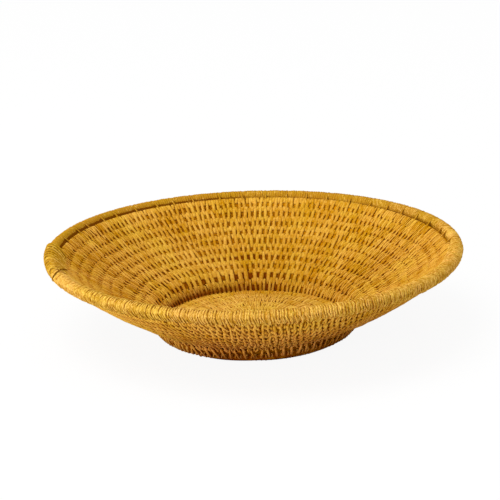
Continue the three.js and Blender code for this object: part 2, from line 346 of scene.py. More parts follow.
def bundle_rings(turn, shares):
    """The outline of a turn of the bundle at each share of its length, and the length wound so far."""
    inner, outer = turn_edges(turn, shares)
    width = np.minimum(outer - inner, 1)
    around = np.arange(BUNDLE_SIDES) * FULL_TURN / BUNDLE_SIDES
    middle = (inner + outer)[:, None] / 2 * COIL_PITCH
    run = middle + np.outer(width * BUNDLE_HALF_WIDTH, np.cos(around))
    half_thickness = np.full(BUNDLE_SIDES, BUNDLE_HALF_THICKNESS)
    if turn in FOOT_TURNS:
        half_thickness[np.sin(around) > 0] = FOOT_HALF_THICKNESS
    out = np.outer(np.sqrt(width), half_thickness * np.sin(around))
    angle = coil_angle(shares)
    return on_bowl(run, out, angle[:, None]), angle * np.interp(run[:, 0], profile_runs, profile_radii)


def coil_name(turn):
    """The name of a turn's node in the CAD."""
    return f"floor_coil_{turn + 1}" if turn < FLOOR_TURNS else f"wall_coil_{turn - FLOOR_TURNS + 1}"


chance = np.random.default_rng(SEED)
stations = np.linspace(0, 1, BUNDLE_STATIONS + 1)
for turn in range(TURNS):
    rings, along = bundle_rings(turn, turn_shares(turn, stations))
    if turn == TURNS - 1:
        tail = stations[1:]
        tail_rings, tail_along = bundle_rings(TURNS, tail[climb(TURNS, tail) <= 1 - END_TAPER])
        rings = np.concatenate([rings, tail_rings])
        along = np.concatenate([along, tail_along + along[-1]])
    tone = chance.uniform(*HANK_TONES)
    tone = FLOOR_TONE if turn < FOOT_TURNS[0] else SHADED_TURN_TONES.get(turn, tone)
    angle = coil_angle(np.linspace(0, 1, len(rings)))
    tone = tone + np.interp(angle % FULL_TURN, BUNDLE_SHADE_ANGLES, BUNDLE_SHADE_TONES)
    bundle = tube(coil_name(turn).replace("coil", "bundle"), rings, along, tone, bundle_fibre)
    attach(bundle, "root")
    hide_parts(coil_name(turn))


# The start knot
# The first end of the bundle, tied into a flat knot in the middle of the floor. The stitches of
# the first turn go through it.
KNOT_RINGS = 9
KNOT_SPREAD = 1.08
KNOT_END = 0.98 * math.pi / 2
KNOT_SQUARENESS = 0.5
KNOT_TONE = 0.5
bulge = np.linspace(-KNOT_END, KNOT_END, KNOT_RINGS)
around = np.arange(BUNDLE_SIDES) * FULL_TURN / BUNDLE_SIDES
knot_radius = KNOT_SPREAD * KNOT_RADIUS * np.cos(bulge) ** KNOT_SQUARENESS
knot_height = COIL_THICKNESS / 2 + BUNDLE_HALF_THICKNESS * np.sin(bulge)
knot_rings = turned(knot_radius[:, None], knot_height[:, None], around[None, :])
knot = tube("start_knot_bundle", knot_rings, knot_height, KNOT_TONE, bundle_fibre)
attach(knot, "root")
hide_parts("start_knot")


# The binding stitches
# A split sisal strand sews each turn to the one before. A long stitch goes over the bundle and bites
# through the turn below. Between two long ones a short stitch goes through the bundle inside, and in the
# wall another one outside, so that the bundle, coloured dark as painted shade, shows only in the slots that
# they leave.
STRAND_WIDTH = 0.0028
BITE = 0.0034
LONG_STITCH = COIL_PITCH + BITE
SHORT_BITE = 0.0012
SHORT_DEPTH = 0.6
SHORT_BREADTH = 1.1
FIRST_STITCH = 0.25
STITCH_DEPTH = COIL_THICKNESS - STRAND_THICKNESS
STITCH_STEPS = 12
STITCH_SIDES = 6
STITCH_ROUNDING = 0.38
STITCH_WOBBLE = 0.0004

FLOOR_STRAND_WIDTH = 0.0021
FLOOR_SPACING = 0.0034
FLOOR_SHORT_STITCH = 0.0092

FOOT_SPACING = 0.0043
FOOT_GIRTH = 0.91
FOOT_LEAN = 0.6
FOOT_LEAN_LIMIT = 0.7
FOOT_ANGLES = np.radians([180, 226, 248, 330, 360])
FOOT_BREADTHS = (1.15, 1.15, 0.66, 0.66, 1.0)
CORNER_BREADTH = 0.72

# The slots lie open at the back of the wall and close towards its sides.
WALL_SPACING = 0.0050
WIDE_SPACINGS = {FLOOR_TURNS + 1: 0.0066, FLOOR_TURNS + 3: 0.0056}
SLOT_STITCH = 0.0060
LEFT_SHORT_STITCH = 0.0092
RIGHT_SHORT_STITCH = 0.0096
LEFT_SLOTS_START = 0.33
RIGHT_SLOTS_START = 0.46
SLOTS_FADE = 0.45
BACK_BREADTH = 1.14
SIDE_BREADTH = 0.72
FRONT_BREADTH = 0.8
LOW_TURNS = (FLOOR_TURNS, FLOOR_TURNS + 1)
LOW_BREADTH = 1.25
LOW_OUTER_STITCH = 0.0040
TOP_OUTER_STITCH = 0.0062
OUTER_STITCH_TURNS = (TURNS - 6, TURNS - 1)
OUTER_SLANT = -0.13

# The stitches of the top turn reach up under the rim, except where the groove shows.
GROOVE_ANGLES = np.radians([0, 30, 60, 120, 140, 178, 180, 360])
GROOVE_REACHES = (-0.0008, -0.0008, 0.0012, 0.0012, 0.0010, 0.0010, 0.0022, 0.0022)

PLACE_JITTER = 0.12
LENGTH_JITTER = 0.1
LEAN_JITTER = 0.06
GIRTH_JITTER = 0.02
BREADTH_JITTER = 0.12

STITCH_DARK_COLOUR = (0.45, 0.195, 0.003, 1)
STITCH_LIGHT_COLOUR = (0.67, 0.37, 0.056, 1)
FLOOR_STITCH_DARK_COLOUR = (0.46, 0.21, 0.010, 1)
FLOOR_STITCH_LIGHT_COLOUR = (0.74, 0.44, 0.085, 1)
STITCH_TONE = 0.5
# Painted light and shade on the stitches round the bowl: toned lighter at the front left and the back left,
# darker at the back right and the back middle.
STITCH_LIGHT_ANGLES = np.radians([0, 60, 90, 130, 180, 215, 250, 300, 360])
STITCH_LIGHT_TONES = (0.15, -0.15, -0.1, 0.3, 0.1, 1.0, 0.5, 0.35, 0.15)
BACK_TONE_JITTER = 0.4
SIDE_TONE_JITTER = 0.8
FRONT_TONE_JITTER = 0.64
# How much painted shade the edges of the stitches get: less at the right, and less again where the slots
# lie open at the back.
RIGHT_CREASE = 0.55
LEFT_CREASE = 0.7
RIGHT_CREASE_START = 0.3
BACK_CREASE_LOSS = 0.45

stitch_fibre = sisal(
    "stitch_fibre", STITCH_DARK_COLOUR, STITCH_LIGHT_COLOUR, streak_scale=1.6, streak_length=0.008,
    streakiness=0.8, patchiness=0.9, graininess=0.9,
)
floor_stitch_fibre = sisal(
    "floor_stitch_fibre", FLOOR_STITCH_DARK_COLOUR, FLOOR_STITCH_LIGHT_COLOUR, streak_scale=1.6,
    streak_length=0.008, streakiness=1.0, patchiness=0.9, graininess=0.9,
)


def line_object(name, points):
    """A line of points, for strands to be laid on."""
    mesh = bpy.data.meshes.new(name)
    mesh.from_pydata(points, [(i, i + 1) for i in range(len(points) - 1)], [])
    line = bpy.data.objects.new(name, mesh)
    bpy.context.scene.collection.objects.link(line)
    return line


SWAY_SCALE = 260.0
SWAY_SHIFT = 53.0

# The way across a loop that looks upright from the front, along the wall and out from it.
FOLD_UP = (0.35, -0.94)
FOLD_UPPER_LOSS = 0.5


def bound_strands():
    """Loops of strand, one at each point, laid on a line in the plane of the profile and turned round."""
    tree = bpy.data.node_groups.new("bound_strands", "GeometryNodeTree")
    tree.is_modifier = True
    tree.interface.new_socket("Geometry", in_out="OUTPUT", socket_type="NodeSocketGeometry")
    for name, kind in [
        ("Geometry", "Geometry"), ("Line", "Object"), ("Half length", "Float"), ("Half depth", "Float"),
        ("Rounding", "Float"), ("Strand width", "Float"), ("Strand thickness", "Float"),
        ("Wobble", "Float"), ("Steps", "Int"), ("Sides", "Int"), ("Material", "Material"),
    ]:
        tree.interface.new_socket(name, in_out="INPUT", socket_type="NodeSocket" + kind)
    given = add_node(tree, "NodeGroupInput").outputs

    def math_node(operation, *values):
        return add_math(tree, operation, *values)

    def named(name):
        inputs = {"Name": name}
        return add_node(tree, "GeometryNodeInputNamedAttribute", inputs, data_type="FLOAT").outputs[0]

    def stored(geometry, name, value, kind="FLOAT"):
        inputs = {"Geometry": geometry, "Name": name, "Value": value}
        settings = {"data_type": kind, "domain": "POINT"}
        return add_node(tree, "GeometryNodeStoreNamedAttribute", inputs, **settings).outputs[0]

    def parts(value):
        return add_node(tree, "ShaderNodeSeparateXYZ", {0: value}).outputs

    def vector(x, y, z):
        return add_node(tree, "ShaderNodeCombineXYZ", {0: x, 1: y, 2: z}).outputs[0]

    def round_curve(points):
        inputs = {"Resolution": points, "Radius": 1.0}
        return add_node(tree, "GeometryNodeCurvePrimitiveCircle", inputs).outputs["Curve"]

    def squared(value, reach):
        size = math_node("POWER", math_node("ABSOLUTE", value), given["Rounding"])
        return math_node("MULTIPLY", math_node("MULTIPLY", math_node("SIGN", value), size), reach)

    # One loop of strand, lying flat, with its length and its section stored for the material.
    position = add_node(tree, "GeometryNodeInputPosition").outputs[0]
    at = parts(position)
    along_loop = squared(at["X"], given["Half length"])
    across_loop = squared(at["Y"], given["Half depth"])
    loop = add_node(tree, "GeometryNodeSetPosition", {
        "Geometry": round_curve(given["Steps"]), "Position": vector(along_loop, across_loop, 0.0),
    }).outputs[0]
    loop = stored(loop, "along", add_node(tree, "GeometryNodeSplineParameter").outputs["Length"])
    section = stored(round_curve(given["Sides"]), "section", position, "FLOAT_VECTOR")
    half_thickness = math_node("DIVIDE", given["Strand thickness"], 2.0)
    half_width = math_node("DIVIDE", given["Strand width"], 2.0)
    section = add_node(tree, "GeometryNodeTransform", {
        "Geometry": section, "Scale": vector(half_thickness, half_width, 1.0),
    }).outputs[0]
    strand = add_node(tree, "GeometryNodeCurveToMesh", {"Curve": loop, "Profile Curve": section}).outputs[0]
    laid = {"Points": given["Geometry"], "Instance": strand}
    strands = add_node(tree, "GeometryNodeInstanceOnPoints", laid).outputs[0]
    strands = add_node(tree, "GeometryNodeRealizeInstances", {"Geometry": strands}).outputs[0]

    # How far each point of a loop lies along the line, out from it and aside.
    spot = add_vector_math(tree, "MULTIPLY", position, (SWAY_SCALE,) * 3)
    own_shift = vector(math_node("MULTIPLY", named("tone"), SWAY_SHIFT), named("angle"), 0.0)
    sway = add_noise(tree, add_vector_math(tree, "ADD", spot, own_shift), scale=1.0, detail=1.0)
    sway = math_node("MULTIPLY", math_node("SUBTRACT", sway, NOISE_MIDDLE), given["Wobble"])
    at = parts(position)
    run = math_node("ADD", named("run"), math_node("MULTIPLY", at["X"], named("reach")))
    out = math_node("ADD", math_node("MULTIPLY", at["Y"], named("girth")), named("lift"))
    outer = math_node("DIVIDE", math_node("MAXIMUM", at["Y"], 0.0), given["Half depth"])
    up = math_node("ADD", *(math_node("MULTIPLY", at[axis], size) for axis, size in zip("XY", FOLD_UP)))
    fold = math_node("SUBTRACT", math_node("ABSOLUTE", up), math_node("MULTIPLY", up, FOLD_UPPER_LOSS))
    aside = math_node("ADD", math_node("MULTIPLY", at["Z"], named("breadth")), sway)
    for size, share in (
        (at["X"], "lean"), (math_node("MULTIPLY", at["X"], outer), "slant"), (fold, "fold"),
    ):
        aside = math_node("ADD", aside, math_node("MULTIPLY", size, named(share)))

    # The place of that point on the bowl.
    line = add_node(tree, "GeometryNodeObjectInfo", {"Object": given["Line"]}).outputs["Geometry"]
    line = add_node(tree, "GeometryNodeMeshToCurve", {"Mesh": line}).outputs[0]
    sample = add_node(tree, "GeometryNodeSampleCurve", {"Curves": line, "Length": run}, mode="LENGTH")
    middle = parts(sample.outputs["Position"])
    slope = parts(sample.outputs["Tangent"])
    radius = math_node("ADD", middle["X"], math_node("MULTIPLY", out, slope["Z"]))
    height = math_node("SUBTRACT", middle["Z"], math_node("MULTIPLY", out, slope["X"]))
    turn_radius = math_node("MAXIMUM", radius, KNOT_RADIUS / 2)
    angle = math_node("ADD", named("angle"), math_node("DIVIDE", aside, turn_radius))
    share = math_node("DIVIDE", math_node("SUBTRACT", height, neck_height), rim_middle.z - neck_height)
    share = math_node("MINIMUM", math_node("MAXIMUM", share, 0.0), RISE_LIMIT)
    rise = math_node("MULTIPLY", math_node("COSINE", math_node("MULTIPLY", angle, 2.0)), SADDLE_RISE)
    height = math_node("ADD", height, math_node("MULTIPLY", share, rise))
    strands = stored(strands, "outside", out)
    strands = add_node(tree, "GeometryNodeSetPosition", {
        "Geometry": strands,
        "Position": vector(
            math_node("MULTIPLY", radius, math_node("COSINE", angle)),
            math_node("MULTIPLY", radius, math_node("SINE", angle)),
            math_node("MAXIMUM", height, 0.0),
        ),
    }).outputs[0]
    strands = add_node(tree, "GeometryNodeSetShadeSmooth", {"Geometry": strands}).outputs[0]
    painted = {"Geometry": strands, "Material": given["Material"]}
    strands = add_node(tree, "GeometryNodeSetMaterial", painted).outputs[0]
    add_node(tree, "NodeGroupOutput", {0: strands})
    return tree


def lay_strands(name, tree, sizes, points):
    """A piece of strand loops, with the place and the lie of each loop in points."""
    count = len(points["angle"])
    mesh = bpy.data.meshes.new(name)
    mesh.from_pydata([(0, 0, 0)] * count, [], [])
    for key, values in points.items():
        add_values(mesh, key, np.broadcast_to(values, count))
    piece = bpy.data.objects.new(name, mesh)
    bpy.context.scene.collection.objects.link(piece)
    modifier = piece.modifiers.new("strands", "NODES")
    modifier.node_group = tree
    for socket in tree.interface.items_tree:
        if socket.in_out == "INPUT" and socket.name in sizes:
            modifier[socket.identifier] = sizes[socket.name]
    evaluated = piece.evaluated_get(bpy.context.evaluated_depsgraph_get())
    strands = bpy.data.meshes.new_from_object(evaluated)
    piece.modifiers.clear()
    piece.data = strands
    strands.name = name
    return piece


LINE_EVERY = 8
profile_line = line_object("profile_line", [
    (radius, 0, height)
    for radius, height in zip(profile_radii[::LINE_EVERY], profile_heights[::LINE_EVERY])
])
strand_tree = bound_strands()
stitch_sizes = {
    "Line": profile_line, "Half length": LONG_STITCH / 2, "Half depth": STITCH_DEPTH / 2,
    "Rounding": STITCH_ROUNDING, "Strand width": STRAND_WIDTH, "Strand thickness": STRAND_THICKNESS,
    "Wobble": STITCH_WOBBLE, "Steps": STITCH_STEPS, "Sides": STITCH_SIDES, "Material": stitch_fibre,
}
floor_sizes = {**stitch_sizes, "Strand width": FLOOR_STRAND_WIDTH, "Material": floor_stitch_fibre}


def towards_back(angle):
    """How near an angle is to the back or the front, where the slots lie open, from 0 to 1."""
    start = np.where(np.cos(angle) > 0, RIGHT_SLOTS_START, LEFT_SLOTS_START)
    return np.clip((np.abs(np.sin(angle)) - start) / SLOTS_FADE, 0, 1)


def short_lengths(angle):
    """The lengths of the short stitches inside the wall, which close the slots at its sides."""
    side_length = np.where(np.cos(angle) > 0, RIGHT_SHORT_STITCH, LEFT_SHORT_STITCH)
    length = side_length + (SLOT_STITCH - side_length) * towards_back(angle)
    return length * chance.normal(1, LENGTH_JITTER, len(angle))


def stitch_breadth(turn, angle):
    """How wide the stitches of a turn are at an angle, against the width of the strand."""
    if turn < FOOT_TURNS[0]:
        return np.ones(len(angle))
    back = SIDE_BREADTH + (BACK_BREADTH - SIDE_BREADTH) * towards_back(angle)
    front = FRONT_BREADTH
    if turn in FOOT_TURNS:
        back = CORNER_BREADTH if turn == FLOOR_TURNS else 1
        front = np.interp(angle % FULL_TURN, FOOT_ANGLES, FOOT_BREADTHS)
    if turn in LOW_TURNS:
        front = front / LOW_BREADTH
    return np.where(np.sin(angle) > 0, back, front)


def stitch_points(turn, shares, length, past=0, depth=1, side=0, breadth=1.0):
    """Where the stitches of one kind lie on a turn, how deep they go in from a side, and how each leans."""
    inner, outer = turn_edges(turn, shares)
    width = np.minimum(outer - inner, 1)
    count = len(shares)
    angle = coil_angle(shares)
    at_back = np.sin(angle) > 0
    open_slots = towards_back(angle)
    groove_reach = np.interp(angle % FULL_TURN, GROOVE_ANGLES, GROOVE_REACHES) * (outer == TURNS)
    foot_lean = FOOT_LEAN * np.clip(-np.cos(angle), 0, FOOT_LEAN_LIMIT) * ~at_back * (turn in FOOT_TURNS)
    back_jitter = SIDE_TONE_JITTER + (BACK_TONE_JITTER - SIDE_TONE_JITTER) * open_slots
    tone_jitter = np.where(at_back, back_jitter, FRONT_TONE_JITTER)
    painted_light_tone = np.interp(angle % FULL_TURN, STITCH_LIGHT_ANGLES, STITCH_LIGHT_TONES)
    edge_shade = np.where(np.cos(angle) > RIGHT_CREASE_START, RIGHT_CREASE, LEFT_CREASE)
    girth = FOOT_GIRTH if turn in FOOT_TURNS else 1
    return {
        "run": KNOT_RADIUS + outer * COIL_PITCH + past - width * length / 2 + groove_reach,
        "angle": angle,
        "reach": width * length / LONG_STITCH,
        "lean": chance.normal(0, LEAN_JITTER, count) + foot_lean,
        "slant": chance.normal(OUTER_SLANT, LEAN_JITTER, count) * (turn > FLOOR_TURNS),
        "tone": STITCH_TONE + chance.uniform(-1, 1, count) * tone_jitter + painted_light_tone,
        "edge_shade": edge_shade - BACK_CREASE_LOSS * open_slots * at_back * (turn >= FLOOR_TURNS),
        "girth": chance.normal(girth, GIRTH_JITTER, count) * depth * np.sqrt(width),
        "breadth": chance.normal(breadth * stitch_breadth(turn, angle), BREADTH_JITTER, count),
        "lift": np.full(count, side * (1 - depth) * STITCH_DEPTH / 2),
    }


INSIDE = -1
OUTSIDE = 1
for turn in range(TURNS):
    in_wall = turn >= FLOOR_TURNS
    spacing = WIDE_SPACINGS.get(turn, WALL_SPACING) if in_wall else FLOOR_SPACING
    if turn in FOOT_TURNS:
        spacing = FOOT_SPACING
    radius = np.interp((turn + 0.5) * COIL_PITCH, profile_runs, profile_radii)
    count = round(FULL_TURN * radius / spacing)
    shares = (np.arange(count) + FIRST_STITCH + chance.uniform(-PLACE_JITTER, PLACE_JITTER, count)) / count
    between = turn_shares(turn, shares + 0.5 / count)
    sets = [stitch_points(
        turn, turn_shares(turn, shares), LONG_STITCH, breadth=LOW_BREADTH if turn in LOW_TURNS else 1.0,
    )]
    sets.append(stitch_points(
        turn, between, short_lengths(coil_angle(between)) if in_wall else FLOOR_SHORT_STITCH,
        past=SHORT_BITE if in_wall and turn < TURNS - 1 else 0, depth=SHORT_DEPTH, side=INSIDE,
        breadth=SHORT_BREADTH * max(spacing / WALL_SPACING, 1),
    ))
    if turn > FLOOR_TURNS:
        outer_stitch = np.interp(turn, OUTER_STITCH_TURNS, (LOW_OUTER_STITCH, TOP_OUTER_STITCH))
        sets.append(stitch_points(turn, between, outer_stitch, depth=SHORT_DEPTH, side=OUTSIDE))
    if turn == TURNS - 1:
        tail = shares[climb(TURNS, shares) <= 1 - END_TAPER]
        between = tail + 0.5 / count
        sets.append(stitch_points(TURNS, tail, LONG_STITCH))
        sets.append(stitch_points(
            TURNS, between, short_lengths(coil_angle(between)), depth=SHORT_DEPTH, side=INSIDE,
            breadth=SHORT_BREADTH,
        ))
    points = {key: np.concatenate([stitches[key] for stitches in sets]) for key in sets[0]}
    name = coil_name(turn).replace("coil", "stitches")
    stitches = lay_strands(name, strand_tree, floor_sizes if turn < FOOT_TURNS[0] else stitch_sizes, points)
    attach(stitches, "root")


# The knot's stitches
# The first stitches of the same strand, which go through the middle of the knot and over its edge.
# They hold the knot flat and lead on to the first turn.
KNOT_STITCHES = 15
KNOT_STITCH_PLACE = 0.62 * KNOT_RADIUS
KNOT_STITCH = 1.1 * KNOT_RADIUS
KNOT_STITCH_BREADTH = 0.8
# The edges of these stitches get painted shade as well.
KNOT_STITCH_CREASE = 0.7
KNOT_LEAN_JITTER = 0.05
knot_stitches = lay_strands("start_knot_stitches", strand_tree, floor_sizes, {
    "run": KNOT_STITCH_PLACE, "angle": np.arange(KNOT_STITCHES) * FULL_TURN / KNOT_STITCHES,
    "reach": KNOT_STITCH / LONG_STITCH, "lean": chance.normal(0, KNOT_LEAN_JITTER, KNOT_STITCHES),
    "tone": chance.random(KNOT_STITCHES), "edge_shade": KNOT_STITCH_CREASE, "girth": 1,
    "breadth": KNOT_STITCH_BREADTH, "lift": 0,
})
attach(knot_stitches, "root")


# The rim core
# A thick roll of loose fibre that stands on the edge of the top turn, laid round once from the splice
# and back to it. Round the front it is pressed down onto the wall. The wrapping hides nearly all of it.
SPLICE_ANGLE = math.radians(186)
RIM_WRAP_THICKNESS = 0.0015
CORE_RADIUS = RIM_ROLL_RADIUS - 0.7 * RIM_WRAP_THICKNESS
SEWN_START = math.radians(196)
SEWN_END = math.radians(357)
SEWN_START_FADE = 0.02
SEWN_END_FADE = 0.04
SEWN_DEPTH = 0.0042
CORE_SEWN_DEPTH = 0.8 * SEWN_DEPTH
GROOVE_FILL = 0.004
GROOVE_OPEN_ANGLES = np.radians([0, 30, 60, 100, 140, 172, 178, 360])
GROOVE_OPENINGS = (0.3, 0.3, 0.3, 0.5, 1, 1, 0, 0)
CORE_DARK_COLOUR = (0.14, 0.04, 0.001, 1)
CORE_LIGHT_COLOUR = (0.50, 0.25, 0.020, 1)
CORE_TONE = 1.2
GROOVE_SHADE_TONE = -1.2


def sewn_share(angle):
    """How far the wrapping goes through the top turn at an angle, from 0 to 1."""
    angle = angle % FULL_TURN
    after_start = np.clip((angle - SEWN_START) / SEWN_START_FADE, 0, 1)
    return after_start * np.clip((SEWN_END - angle) / SEWN_END_FADE, 0, 1)


def groove_share(angle):
    """How much of the groove under the roll lies open at an angle, from 0 to 1."""
    return np.interp(angle % FULL_TURN, GROOVE_OPEN_ANGLES, GROOVE_OPENINGS)


angles = np.linspace(0, FULL_TURN, BUNDLE_STATIONS + 1) + SPLICE_ANGLE
angles[0] += RIM_GAP / rim_middle.x
around = np.arange(BUNDLE_SIDES) * FULL_TURN / BUNDLE_SIDES
core_depth = (CORE_SEWN_DEPTH * sewn_share(angles) + GROOVE_FILL * groove_share(angles))[:, None]
core_run = CORE_RADIUS * np.cos(around) + core_depth / 2 * (np.cos(around) - 1)
core_out = CORE_RADIUS * np.sin(around)
core_rings = turned(
    rim_middle.x + core_run * wall_slope.x + core_out * wall_outward.x,
    rim_middle.z + core_run * wall_slope.z + core_out * wall_outward.z, angles[:, None],
)
core_fibre = sisal(
    "core_fibre", CORE_DARK_COLOUR, CORE_LIGHT_COLOUR, streak_scale=3.0, streak_length=0.011,
    streakiness=0.8, patchiness=0.6, graininess=0.6,
)
# Where the groove under the roll lies open, most at the back left, the core is toned dark: painted shade in
# the groove.
core_tone = CORE_TONE + (GROOVE_SHADE_TONE - CORE_TONE) * groove_share(angles)
rim_core = tube("rim_roll_core", core_rings, angles * rim_middle.x, core_tone, core_fibre)
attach(rim_core, "root")
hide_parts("rim_core")


# The rim wrapping
# One fine sisal strand, wound closely round the roll. Round the back it makes a plain roll over a
# groove, and the lashing pinches it. Round the front it is sewn through the top turn in two rows.
WRAP_SPACING = 0.00215
WRAP_WIDTH = 0.0019
WRAP_WOBBLE = 0.0012
WRAP_RADIUS = RIM_ROLL_RADIUS - RIM_WRAP_THICKNESS / 2
WRAP_LEAN = 0.05
SEAM_LEAN = 1.7
SEAM_FADE = 0.14
SPLICE_LENGTH = 0.084
SPLICE_CLEARANCE = math.radians(6)
LASHING_COUNT = 24
LASHING_JITTER = 0.012
PINCH_WIDTH = 0.0028
PINCH_DEPTH = 0.07
GROOVE_DEPTH = 0.09
GROOVE_GIRTH_LOSS = 0.5 * GROOVE_DEPTH
WRAP_FOLD = 0.36
FOLD_START = 0.5
FOLD_FADE = 0.4
ROW_SHIFT = 0.00035
UPPER_ROW_SHIFTS = (0.4, 1.6)
UPPER_TONE_JITTER = 0.3
SEWN_DEPTHS = (0.1 * SEWN_DEPTH, 1.6 * SEWN_DEPTH)
WRAP_PLACE_JITTER = 0.1
WRAP_GIRTH_JITTER = 0.012
WRAP_LEAN_JITTER = 0.05
WRAP_FOLD_JITTER = 0.1
WRAP_BREADTH_JITTER = 0.1
WRAP_TONE_JITTER = (-0.25, 0.2)
# How much painted shade the edges of the wraps get, more where they are sewn through the wall.
WRAP_CREASE = 0.33
SEWN_CREASE = 0.63
WRAP_DARK_COLOUR = (0.41, 0.198, 0.011, 1)
WRAP_LIGHT_COLOUR = (0.78, 0.475, 0.11, 1)
# Painted light and shade on the wrapping round the bowl: toned darker round the back and lighter at the
# right and the front. The breadths go by the same angles.
RIM_TONE_ANGLES = np.radians([0, 20, 65, 175, 195, 200, 360])
RIM_SHADE_TONES = (0.4, 0.2, -0.7, -0.7, -0.3, 0.4, 0.25)
RIM_BREADTHS = (1.05, 1.2, 1.6, 1.6, 1.4, 0.9, 0.9)

LINE_REACH = 0.03
rim_line = line_object("rim_line", [
    rim_middle - LINE_REACH * wall_slope, rim_middle + LINE_REACH * wall_slope,
])
rim_fibre = sisal(
    "rim_fibre", WRAP_DARK_COLOUR, WRAP_LIGHT_COLOUR, streak_scale=1.6, streak_length=0.0030,
    streakiness=2.2, patchiness=0.5, graininess=1.2,
)
wrap_sizes = {
    "Line": rim_line, "Half length": WRAP_RADIUS, "Half depth": WRAP_RADIUS, "Rounding": 1.0,
    "Strand width": WRAP_WIDTH, "Strand thickness": RIM_WRAP_THICKNESS, "Wobble": WRAP_WOBBLE,
    "Steps": STITCH_STEPS, "Sides": STITCH_SIDES, "Material": rim_fibre,
}
count = round(FULL_TURN * rim_middle.x / WRAP_SPACING)
jitter = chance.uniform(-WRAP_PLACE_JITTER, WRAP_PLACE_JITTER, count)
wrap_angles = (np.arange(count) + 0.5 + jitter) / count * FULL_TURN
lash_end = SPLICE_ANGLE - SPLICE_LENGTH / 2 / rim_middle.x - SPLICE_CLEARANCE
lash_angles = np.linspace(0, lash_end, LASHING_COUNT) + chance.normal(0, LASHING_JITTER, LASHING_COUNT)
to_lashing = np.abs(wrap_angles[:, None] - lash_angles[None, :]).min(1) * rim_middle.x
swell = chance.normal(1, WRAP_GIRTH_JITTER, count) - PINCH_DEPTH * np.exp(-(to_lashing / PINCH_WIDTH) ** 2)
sewn = sewn_share(wrap_angles)
past_seam = np.clip(1 - (wrap_angles - SEWN_START) / SEAM_FADE, 0, 1) * (wrap_angles > SEWN_START)
sewn_depth = sewn * chance.uniform(*SEWN_DEPTHS, count)
open_groove = groove_share(wrap_angles)
folded = sewn * np.clip((-np.sin(wrap_angles) - FOLD_START) / FOLD_FADE, 0, 1)
wrap_breadth = np.interp(wrap_angles, RIM_TONE_ANGLES, RIM_BREADTHS)
wrap_points = {
    "run": LINE_REACH - sewn_depth / 2 + GROOVE_DEPTH * open_groove * WRAP_RADIUS,
    "angle": wrap_angles,
    "reach": (swell - GROOVE_DEPTH * open_groove) * (1 + sewn_depth / 2 / WRAP_RADIUS),
    "girth": swell - GROOVE_GIRTH_LOSS * open_groove,
    "lean": chance.normal(WRAP_LEAN, WRAP_LEAN_JITTER, count) + SEAM_LEAN * past_seam ** 2,
    "fold": folded * chance.normal(WRAP_FOLD, WRAP_FOLD_JITTER, count),
    "tone": np.interp(wrap_angles, RIM_TONE_ANGLES, RIM_SHADE_TONES) + chance.uniform(*WRAP_TONE_JITTER, count),
    "edge_shade": WRAP_CREASE + (SEWN_CREASE - WRAP_CREASE) * sewn,
    "breadth": chance.normal(1, WRAP_BREADTH_JITTER, count) * wrap_breadth,
    "lift": ROW_SHIFT * sewn,
}

# The upper row lies between the strands of the lower one and stands out at the top of the roll.
in_two_rows = (sewn == 1) & (past_seam == 0)
upper_count = np.count_nonzero(in_two_rows)
upper_points = {key: values[in_two_rows] for key, values in wrap_points.items()}
upper_points["angle"] += FULL_TURN / count / 2
upper_points["lift"] = -ROW_SHIFT * chance.uniform(*UPPER_ROW_SHIFTS, upper_count)
upper_points["fold"] = chance.normal(0, WRAP_FOLD_JITTER, upper_count)
upper_points["tone"] += chance.uniform(-UPPER_TONE_JITTER, UPPER_TONE_JITTER, upper_count)
wrap_points = {key: np.concatenate([values, upper_points[key]]) for key, values in wrap_points.items()}
rim_wrap = lay_strands("rim_roll_wrap", strand_tree, wrap_sizes, wrap_points)
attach(rim_wrap, "root")
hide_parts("rim_wrap")


# The rim lashing
# One strand lashes the roll to the top turn round the back, with spaced stitches that cross the
# groove between them and press into the roll.
LASHING_WIDTH = 0.0018
LASHING_THICKNESS = 0.0011
LASHING_DEPTH = 0.0062
LASHING_PRESS = 0.0005
LASHING_RADIUS = RIM_ROLL_RADIUS - LASHING_PRESS
LASHING_ROUNDING = 0.85
LASHING_WOBBLE = 0.0006
LASHING_STEPS = 20
LASHING_LEAN = 0.1
LASHING_LEAN_JITTER = 0.08
# The lashing is toned dark: painted shade for the groove that it crosses and the notches where it presses
# in.
LASHING_SHADE_TONES = (-1.2, -0.5)
LASHING_CREASE = 0.5
lash_sizes = {
    "Line": rim_line, "Half length": LASHING_RADIUS + LASHING_DEPTH / 2, "Half depth": LASHING_RADIUS,
    "Rounding": LASHING_ROUNDING, "Strand width": LASHING_WIDTH, "Strand thickness": LASHING_THICKNESS,
    "Wobble": LASHING_WOBBLE, "Steps": LASHING_STEPS, "Sides": STITCH_SIDES, "Material": rim_fibre,
}
rim_lashing = lay_strands("rim_lashing_strand", strand_tree, lash_sizes, {
    "run": LINE_REACH - LASHING_DEPTH / 2, "angle": lash_angles, "reach": 1, "girth": 1,
    "lean": chance.normal(LASHING_LEAN, LASHING_LEAN_JITTER, LASHING_COUNT),
    "tone": chance.uniform(*LASHING_SHADE_TONES, LASHING_COUNT),
    "edge_shade": LASHING_CREASE, "breadth": 1, "lift": 0,
})
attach(rim_lashing, "root")
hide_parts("rim_lashing")


